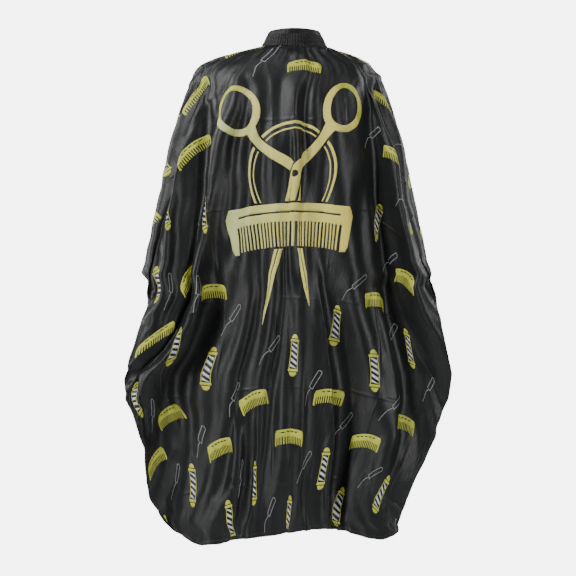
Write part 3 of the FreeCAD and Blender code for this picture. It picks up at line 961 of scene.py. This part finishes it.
def scissors(side):
    """One half of the big open scissors: ring, shank, and the blade that runs past the crossing."""
    ring = np.array(SCISSORS["left ring" if side < 0 else "right ring"])
    pivot = np.array(SCISSORS["crossing"])
    tip = np.array(SCISSORS["right tip" if side < 0 else "left tip"])
    lean = side * 12
    outer = oval(ring, (0.057, 0.063), lean, lump=0.02)
    inner = oval(ring + np.array([side * 0.001, -0.002]), (0.040, 0.048), lean, lump=0.03)
    shank = curve_through([ring + np.array([-side * 0.028, 0.040]), ring + np.array([-side * 0.058, 0.085]),
                           pivot + np.array([side * 0.010, -0.016]), pivot])
    grow = np.interp(np.linspace(0, 1, len(shank)), [0, 0.25, 0.7, 1], [0.034, 0.022, 0.026, 0.034])
    blade = curve_through([pivot, pivot * 0.65 + tip * 0.35 + np.array([side * 0.012, 0]), tip])
    narrow = np.interp(np.linspace(0, 1, len(blade)), [0, 0.3, 0.8, 1], [0.034, 0.034, 0.018, 0.002])
    bevel = curve_through([pivot * 0.9 + tip * 0.1, pivot * 0.6 + tip * 0.4 + np.array([side * 0.010, 0]),
                           pivot * 0.12 + tip * 0.88])
    thin = np.interp(np.linspace(0, 1, len(bevel)), [0, 0.5, 1], [0.0030, 0.0036, 0.0012])
    path, wide = np.vstack([shank, blade[1:]]), np.concatenate([grow, narrow[1:]])
    clear = 0.010                                 # what stays unprinted round it
    return outer, inner, ribbon(path, wide), ribbon(bevel, thin), ribbon(path, wide + clear)


def allowed(u, v, long, high):
    """Whether a motif of that reach stays on the cut, off the slit and off the big motif."""
    if np.hypot(u, v) < HOLE + high + 0.010 or (abs(u) < long + 0.010 and v < 0):
        return False
    if abs(u) > CUT_HALF - 0.02 or v > CUT_FRONT - 0.02 or v < -CUT_BACK + 0.02:
        return False
    return not ((abs(u) < 0.190 + long and 0.240 - high < v < 0.632 + high) or
                (-0.125 - long < u < 0.090 + long and 0.60 < v < 0.815 + high))


def layout():
    """Every motif with its place on the cut, its lean and its size."""
    made = []
    kinds = (small_comb, small_pole)
    for column in range(-4, 5):
        for row in range(-2, 9):
            u = column * 0.150 + 0.026 + 0.012 * math.sin(3.1 * row + column)
            v = row * 0.180 + (0.090 if column % 2 else 0.0) + 0.010 * math.sin(5 * column + row)
            kind = kinds[(row + column + (row < 2)) % 2]
            lean = 8 * math.sin(2.1 * column + 1.3 * row) + (-6 if kind is small_comb else 2)
            if allowed(u, v, 0.045, 0.030):
                size = 0.72 if np.hypot(u, v) < 0.24 else 1.0 if kind is small_comb else 1.12
                made.append((kind(), (u, v), lean, size))
            u, v = u + 0.076, v + 0.072
            if (row * 2 + column) % 4 != 1 and allowed(u, v, 0.035, 0.035):
                made.append((small_razor(), (u, v), -52 + 9 * math.sin(column + 2.2 * row), 1.15))
    return made


def inside(places, loops):
    """Which places are inside an odd number of loops."""
    odd = np.zeros(len(places), bool)
    for loop in loops:
        a = np.array(loop)
        b = np.roll(a, -1, axis=0)
        above = (a[None, :, 1] > places[:, 1:2]) != (b[None, :, 1] > places[:, 1:2])
        rise = b[:, 1] - a[:, 1]
        rise = np.where(np.abs(rise) < 1e-12, 1e-12, rise)
        lean = (b - a)[None, :, 0] / rise[None, :]
        crossing = a[None, :, 0] + (places[:, 1:2] - a[None, :, 1]) * lean
        odd ^= (above & (places[:, 0:1] < crossing)).sum(axis=1) % 2 == 1
    return odd


def ink_patch(cloth, groups, covered=()):
    """The printed part of the cloth inside any group of loops, cut along the loops and the cloth's own
    edges. What lies inside a covered loop stays clear. Returns the places on the cut and the faces."""
    loops = [loop for group in groups for loop in group]
    rim = np.vstack([np.array(loop) for loop in loops])
    low, high = rim.min(axis=0) - 0.001, rim.max(axis=0) + 0.001
    near = np.flatnonzero(((cloth.flat_high > low) & (cloth.flat_low < high)).all(axis=1))
    if not len(near):
        return [], []
    used, corners = np.unique(cloth.corners[near], return_inverse=True)
    corners = corners.reshape(-1, 3)
    verts = [Vector(p) for p in cloth.flat[used]]
    edges = list({tuple(sorted((int(t[i]), int(t[(i + 1) % 3])))) for t in corners for i in range(3)})
    for loop in loops + list(covered):
        base = len(verts)
        verts += [Vector(p) for p in loop]
        edges += [(base + k, base + (k + 1) % len(loop)) for k in range(len(loop))]
    made, _, faces, _, _, _ = delaunay_2d_cdt(verts, edges, [], 0, 1e-7)
    places = np.array([tuple(p) for p in made])
    faces = np.array([f for f in faces if len(f) == 3])
    middles = places[faces].mean(axis=1)
    keep = np.any([inside(middles, group) for group in groups], axis=0)
    for loop in covered:
        keep &= ~inside(middles, [loop])
    keep[keep] &= ~cloth.outside_cut(middles[keep])
    return places, faces[keep]


def print_pieces(cloth):
    """The whole print, one piece for each ink."""
    art = {"print_gold": [], "print_white": [], "print_grey": []}
    right, right_hole, right_arm, right_line, right_round = scissors(1)
    left, left_hole, left_arm, left_line, left_round = scissors(-1)
    spot, lean, bow = (0.004, 0.575), -1.5, 0.014

    def bowed(half, rise, wide, steps):
        line = [(x, rise + bow * (x / 0.19) ** 2) for x in np.linspace(-half, half, steps)]
        return ribbon(line, [wide] * steps)

    big_comb = comb_shape(0.385, 0.104, 30, bow=bow, spine=0.42)
    comb = placed([big_comb, bowed(0.160, -0.031, 0.0040, 21)], spot, lean)
    margin = placed([bowed(0.150, 0.0, 0.114, 15)], spot, lean)
    middle = (0.010, 0.462)
    frame_lines = [oval(middle, (r, r * 1.10), steps=72) for r in (0.124, 0.1175, 0.110, 0.1065)]
    rivet = [oval(SCISSORS["crossing"], (0.0085, 0.0085), steps=20)]
    art["print_gold"] += [([[right], [right_arm]], [right_hole, right_line] + rivet + margin),
                          ([[left], [left_arm]], [left_hole, left_line, right_round] + rivet + margin),
                          ([frame_lines], [right_round, left_round] + margin), ([comb], [])]
    for shapes, centre, turn, size in layout():
        for ink, loops in shapes.items():
            art[ink].append(([placed(loops, centre, turn, size)], []))
    pieces = []
    for ink, shapes in art.items():
        points, faces, flat, total = [], [], [], 0
        for groups, covered in shapes:
            places, kept = ink_patch(cloth, groups, covered)
            if not len(kept):
                continue
            used, kept = np.unique(kept, return_inverse=True)
            kept = kept.reshape(-1, 3)
            places = places[used]
            spots, _ = cloth.carry(places, 0.00022)
            points.append(spots)
            flat.append(places)
            faces.append(kept + total)
            total += len(places)
        points, flat, faces = np.vstack(points), np.vstack(flat), np.vstack(faces)
        _, outward = cloth.carry(flat[faces[:, 0]], 0.0)
        first, second, third = (points[faces[:, k]] for k in range(3))
        facing = np.cross(second - first, third - first)
        wrong = (facing * outward).sum(axis=1) < 0
        faces[wrong] = faces[wrong][:, ::-1]
        piece = mesh_object(ink, points, faces.tolist())
        add_cut_map(piece.data, flat)
        thicken(piece, 0.00012)
        pieces.append(piece)
    return pieces


# ---- the neck band ----------------------------------------------------------------------------
STITCH_ROWS = (0.0050, 0.0125, 0.0200)
SMOOTH_FROM = 0.0235                              # above this the band isn't shirred


def band_surface(turn, up, grow):
    share = up / BAND_RISE
    wide = NECK_WIDE + (TOP_WIDE - NECK_WIDE) * share + grow
    deep = NECK_DEEP + (TOP_DEEP - NECK_DEEP) * share + grow
    tilt = math.atan(NECK_SLOPE)
    along = -deep * np.cos(turn)
    arch = 0.0062 * share * np.clip(np.cos(turn), 0, 1) ** 1.5
    return np.stack([wide * np.sin(turn), TOP_FORWARD * share + along * math.cos(tilt),
                     BAND_RISE * share + along * math.sin(tilt) + arch], axis=-1)


def shirring(turn, up):
    """How far the shirred cloth stands out: puffs between the rows, pleated all round."""
    rows = np.array((-0.0025,) + STITCH_ROWS + (SMOOTH_FROM + 0.003,))
    slot = np.clip(np.searchsorted(rows, up, side="right") - 1, 0, len(rows) - 2)
    share = np.clip((up - rows[slot]) / (rows[slot + 1] - rows[slot]), 0, 1)
    puff = np.sin(math.pi * share) ** 0.7
    phase = 74 * turn + 2.4 * wander(turn * 3, 41) + 0.8 * np.sin(up * 700 + 3 * turn)
    pleat = ridge(phase, 1.3)
    below = 1 - smooth_step(up, SMOOTH_FROM - 0.001, SMOOTH_FROM + 0.0035)
    casing = np.sin(math.pi * np.clip((up - SMOOTH_FROM) / (BAND_RISE - SMOOTH_FROM), 0, 1)) ** 0.8
    soft = ridge(37 * turn + 1.2 * wander(turn * 3, 42), 1.2)
    shirred = 0.00075 * puff + pleat * (0.00022 + 0.00050 * puff)
    smooth = 0.00055 * casing + 0.00016 * soft * casing
    return below * shirred + (1 - below) * smooth


def facing_ripple(turn, up):
    """The facing's own low gathers."""
    return 0.00025 * ridge(60 * turn + wander(turn * 3, 43), 1.0)


def band_end(up, grow=0.0):
    """How far round the band runs at a height, up to the flat closure."""
    wide = NECK_WIDE + (TOP_WIDE - NECK_WIDE) * up / BAND_RISE + grow
    return math.pi - math.asin(CLOSURE_HALF / wide)


def band_sheet(name, grow, relief, thick, steps, rows):
    """A ply of the band, gathered, open at the nape."""
    points = []
    for up in np.linspace(0.0, BAND_RISE, rows):
        end = band_end(up, grow)
        turn = np.linspace(-end, end, steps)
        lift = relief(turn, np.full(steps, up))
        points.append(band_surface(turn, up, grow + lift))
    points = np.array(points).reshape(-1, 3)
    piece = mesh_object(name, points, strip_faces(rows, steps))
    thicken(piece, thick)
    return piece


def band_rows():
    """The stitched rows of the shirring."""
    runs, steps = [], 1500
    for up in STITCH_ROWS:
        end = band_end(up) - 0.02
        turn = np.linspace(-end, end, steps)
        height = np.full(steps, up)
        path = band_surface(turn, height, shirring(turn, height) + 0.00012)
        above = band_surface(turn, height, shirring(turn, height) + 0.001)
        runs.append((path, above - path))
    return stitches("band_thread", runs, 0.0033, 0.0027, 0.0009, 0.00045)


# ---- the closure at the nape ------------------------------------------------------------------
CLOSURE_FRAME = Matrix.Translation(CLOSURE) @ Matrix((ACROSS, OUT, UP)).transposed().to_4x4()
TAB_LOW, TAB_HIGH, TAB_CORNER = 0.003, 0.036, 0.008
PLY, STIFF = 0.0006, 0.0008
UNDER_REACH, OVER_REACH, TAB_GAP = 0.066, 0.064, 0.0032


def tab_ply(name, root, reach, side, level, thick, groove):
    """One cloth ply of a tab: a plate with two round corners, its edge rounded, a stitch groove sunk
    into its face."""
    deselect()
    left, right = sorted((root, root + side * reach))
    middle = ((left + right) / 2, level + thick / 2, (TAB_LOW + TAB_HIGH) / 2)
    bpy.ops.mesh.primitive_cube_add(size=1, location=middle, scale=(right - left, thick, TAB_HIGH - TAB_LOW))
    piece = bpy.context.object
    piece.name = name
    bpy.ops.object.transform_apply(location=True, scale=True, rotation=True)
    bpy.ops.object.mode_set(mode="EDIT")
    work = bmesh.from_edit_mesh(piece.data)
    tip = root + side * reach
    bpy.ops.mesh.select_mode(type="EDGE")
    for edge in work.edges:
        a, b = (v.co for v in edge.verts)
        edge.select_set(abs(a.x - tip) < 1e-6 and abs(b.x - tip) < 1e-6 and abs(a.z - b.z) < 1e-6)
    bmesh.update_edit_mesh(piece.data)
    bpy.ops.mesh.bevel(offset=TAB_CORNER, segments=10, profile=0.5, affect="EDGES")
    bpy.ops.mesh.select_mode(type="FACE")
    outer = level + thick if groove > 0 else level
    for inset, sink in ((0.0025, 0.0), (0.0005, -0.00016), (0.0005, 0.00016)):
        work = bmesh.from_edit_mesh(piece.data)
        biggest = max((f for f in work.faces if abs(abs(f.normal.y) - 1) < 0.02 and
                       abs(f.calc_center_median().y - outer) < 0.0003), key=lambda f: f.calc_area())
        for face in work.faces:
            face.select_set(face is biggest)
        bmesh.update_edit_mesh(piece.data)
        bpy.ops.mesh.inset(thickness=inset, depth=0)
        bpy.ops.transform.translate(value=(0, math.copysign(sink, sink * groove) if sink else 0, 0))
    bpy.ops.object.mode_set(mode="OBJECT")
    soften = piece.modifiers.new("rounded edge", "BEVEL")
    soften.width, soften.segments, soften.limit_method = 0.0002, 2, "ANGLE"
    apply_modifiers(piece)
    piece.data.transform(CLOSURE_FRAME)
    piece.data.shade_smooth()
    return piece


def tab_outline(root, reach, side, inset, level):
    """The line of stitching round a tab."""
    low, high, corner = TAB_LOW + inset, TAB_HIGH - inset, TAB_CORNER - inset
    start, bend = root + side * 0.001, root + side * (reach - inset - corner)
    quarter = np.linspace(0, math.pi / 2, 9)
    places = [(start, low), (bend, low)]
    places += [(bend + side * corner * math.sin(t), low + corner - corner * math.cos(t)) for t in quarter[1:]]
    places += [(bend + side * corner * math.cos(t), high - corner + corner * math.sin(t)) for t in quarter]
    places += [(start, high)]
    path = np.array([tuple(CLOSURE_FRAME @ Vector((x, level, z))) for x, z in places])
    return path, np.tile(np.array(OUT), (len(path), 1))


def node_copy(name, node, bevel):
    """A copy of a CAD node's mesh, merged, with its edges softened."""
    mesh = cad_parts[node].data.copy()
    mesh.materials.clear()
    work = bmesh.new()
    work.from_mesh(mesh)
    bmesh.ops.remove_doubles(work, verts=work.verts, dist=1e-6)
    bmesh.ops.dissolve_limit(work, angle_limit=math.radians(3), verts=work.verts, edges=work.edges)
    work.to_mesh(mesh)
    work.free()
    mesh.name = name
    piece = make_object(name, mesh)
    soften = piece.modifiers.new("softened edge", "BEVEL")
    soften.width, soften.segments, soften.limit_method = bevel, 3, "ANGLE"
    apply_modifiers(piece)
    mesh.shade_smooth()
    return piece


# ---- putting it together ----------------------------------------------------------------------
def camera_and_light():
    scene = bpy.context.scene
    camera = bpy.data.objects.new("camera", bpy.data.cameras.new("camera"))
    camera.data.lens, camera.data.sensor_width = 90.8, 36.0
    camera.location = EYE
    camera.rotation_euler = (math.pi / 2, 0, 0)
    scene.collection.objects.link(camera)
    scene.camera = camera

    def panel(name, place, aim, size, power, tall=None):
        lamp = bpy.data.lights.new(name, "AREA")
        lamp.energy, lamp.size = power, size
        if tall:
            lamp.shape, lamp.size_y = "RECTANGLE", tall
        made = bpy.data.objects.new(name, lamp)
        made.location = place
        made.rotation_euler = (Vector(aim) - Vector(place)).to_track_quat("-Z", "Y").to_euler()
        scene.collection.objects.link(made)

    panel("key", (-2.2, -2.0, 1.2), (0.0, 0, -0.40), 0.7, 76, 2.0)
    panel("fill", (2.4, -2.6, 0.5), (0, 0, -0.5), 0.9, 34, 2.0)
    panel("low left", (-2.3, -1.9, -0.9), (0, 0, -0.85), 0.35, 18, 1.5)
    panel("low right", (2.2, -2.3, -0.8), (0, 0, -0.85), 0.35, 15, 1.5)
    panel("rim left", (-1.9, 0.5, 0.2), (0, 0, -0.5), 0.6, 26, 2.0)
    panel("rim right", (1.9, 0.7, 0.2), (0, 0, -0.6), 0.6, 22, 2.0)
    panel("top", (0.0, -1.3, 2.2), (0, 0, -0.3), 1.2, 14)
    panel("back fill", (0.3, 3.2, 0.8), (0, 0, -0.5), 2.2, 70)

    world = bpy.data.worlds.new("studio")
    scene.world = world
    world.use_nodes = True
    tree = world.node_tree
    tree.nodes.clear()
    seen_by = tree.nodes.new("ShaderNodeLightPath")
    mix, out = tree.nodes.new("ShaderNodeMixShader"), tree.nodes.new("ShaderNodeOutputWorld")
    tree.links.new(seen_by.outputs["Is Camera Ray"], mix.inputs[0])
    # what lights the cape, then what the camera sees behind it
    for slot, colour, strength in ((1, (0.9, 0.95, 1.0, 1), 0.06), (2, (1, 1, 1, 1), 6.0)):
        light = tree.nodes.new("ShaderNodeBackground")
        light.inputs["Color"].default_value, light.inputs["Strength"].default_value = colour, strength
        tree.links.new(light.outputs[0], mix.inputs[slot])
    tree.links.new(mix.outputs[0], out.inputs["Surface"])

    deselect()
    bpy.ops.mesh.primitive_circle_add(vertices=96, radius=1.2, fill_type="NGON", location=(0, 0, -1.62))
    floor = bpy.context.object
    floor.name = "floor"
    shader = Shader("pale floor", Roughness=0.9)
    shader.surface.inputs["Base Color"].default_value = (0.85, 0.85, 0.85, 1)
    floor.data.materials.append(shader.material)


def paint(node, material):
    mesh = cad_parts[node].data
    mesh.materials.clear()
    mesh.materials.append(material)


camera_and_light()
cloth = HungCloth()

cape = make_cape(cloth)
hem = make_hem(cloth)
hem.data.materials.append(cape.data.materials[0])
hem_thread = hem_stitches(cloth)
inks = {
    "print_gold": printed_ink(
        "yellow gold ink", [(0.0, (0.58, 0.68, 0.30)), (0.35, (0.80, 0.76, 0.22)), (1.0, (0.84, 0.72, 0.13))],
        [(0.35, (0.48, 0.51, 0.050)), (0.65, (0.66, 0.68, 0.09))]),
    "print_white": printed_ink("white ink", [(0.0, (0.70, 0.71, 0.76)), (1.0, (0.74, 0.75, 0.78))],
                               [(0.3, (0.66, 0.67, 0.70)), (0.7, (0.80, 0.81, 0.83))]),
    "print_grey": printed_ink("pale grey ink", [(0.0, (0.30, 0.31, 0.32)), (1.0, (0.36, 0.37, 0.38))],
                              [(0.3, (0.24, 0.25, 0.26)), (0.7, (0.36, 0.37, 0.38))])}
prints = print_pieces(cloth)
for piece in prints:
    piece.data.materials.append(inks[piece.name])

thread = thread_material()
band = band_fabric("band taffeta")
band_outer = band_sheet("band_outer_cloth", -0.0001, shirring, 0.0004, 640, 42)
band_facing = band_sheet("band_facing_cloth", -0.0020, facing_ripple, 0.0005, 420, 12)
band_thread = band_rows()
for piece in (band_outer, band_facing):
    piece.data.materials.append(band)

under_top = 2 * PLY + STIFF
over_foot = under_top + TAB_GAP
under_lining = tab_ply("underlap_lining_cloth", CLOSURE_HALF, UNDER_REACH, -1, 0.0, PLY, -1)
under_outer = tab_ply("underlap_outer_cloth", CLOSURE_HALF, UNDER_REACH, -1, PLY + STIFF, PLY, 1)
over_lining = tab_ply("overlap_lining_cloth", -CLOSURE_HALF, OVER_REACH, 1, over_foot, PLY, -1)
over_outer = tab_ply("overlap_outer_cloth", -CLOSURE_HALF, OVER_REACH, 1, over_foot + PLY + STIFF, PLY, 1)
under_line = tab_outline(CLOSURE_HALF, UNDER_REACH, -1, 0.003, under_top)
over_line = tab_outline(-CLOSURE_HALF, OVER_REACH, 1, 0.003, over_foot + under_top)
under_thread = stitches("underlap_thread", [under_line], 0.0032, 0.0026, 0.0007, 0.0004)
over_thread = stitches("overlap_thread", [over_line], 0.0032, 0.0026, 0.0007, 0.0004)
root_block = node_copy("overlap_root_cloth", "overlap_root", 0.0005)
for piece in (under_lining, under_outer, over_lining, over_outer, root_block):
    piece.data.materials.append(band)
for piece in (hem_thread, band_thread, under_thread, over_thread):
    piece.data.materials.append(thread)

metal, lining, webbing = plated_metal(), interlining(), elastic_webbing()
for node in ("snap_studs", "stud_posts", "snap_cap", "snap_socket", "socket_spring"):
    paint(node, metal)
for node in ("underlap_stiffener", "overlap_stiffener"):
    paint(node, lining)
paint("neck_elastic", webbing)

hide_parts("cape_cloth")
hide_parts("hem_stitching")
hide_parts("neck_band_outer")
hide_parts("neck_band_facing")
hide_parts("neck_band_stitching")
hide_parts("underlap_lining")
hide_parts("underlap_outer")
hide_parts("underlap_stitching")
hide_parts("overlap_lining")
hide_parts("overlap_outer")
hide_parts("overlap_stitching")
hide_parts("overlap_root")

cape_pieces = [cape, hem, hem_thread] + prints
cape_pieces += [band_outer, band_facing, band_thread, under_lining, under_outer, under_thread, root_block]
for piece in cape_pieces:
    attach(piece, "cape")
for piece in (over_lining, over_outer, over_thread):
    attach(piece, "overlap_tab")
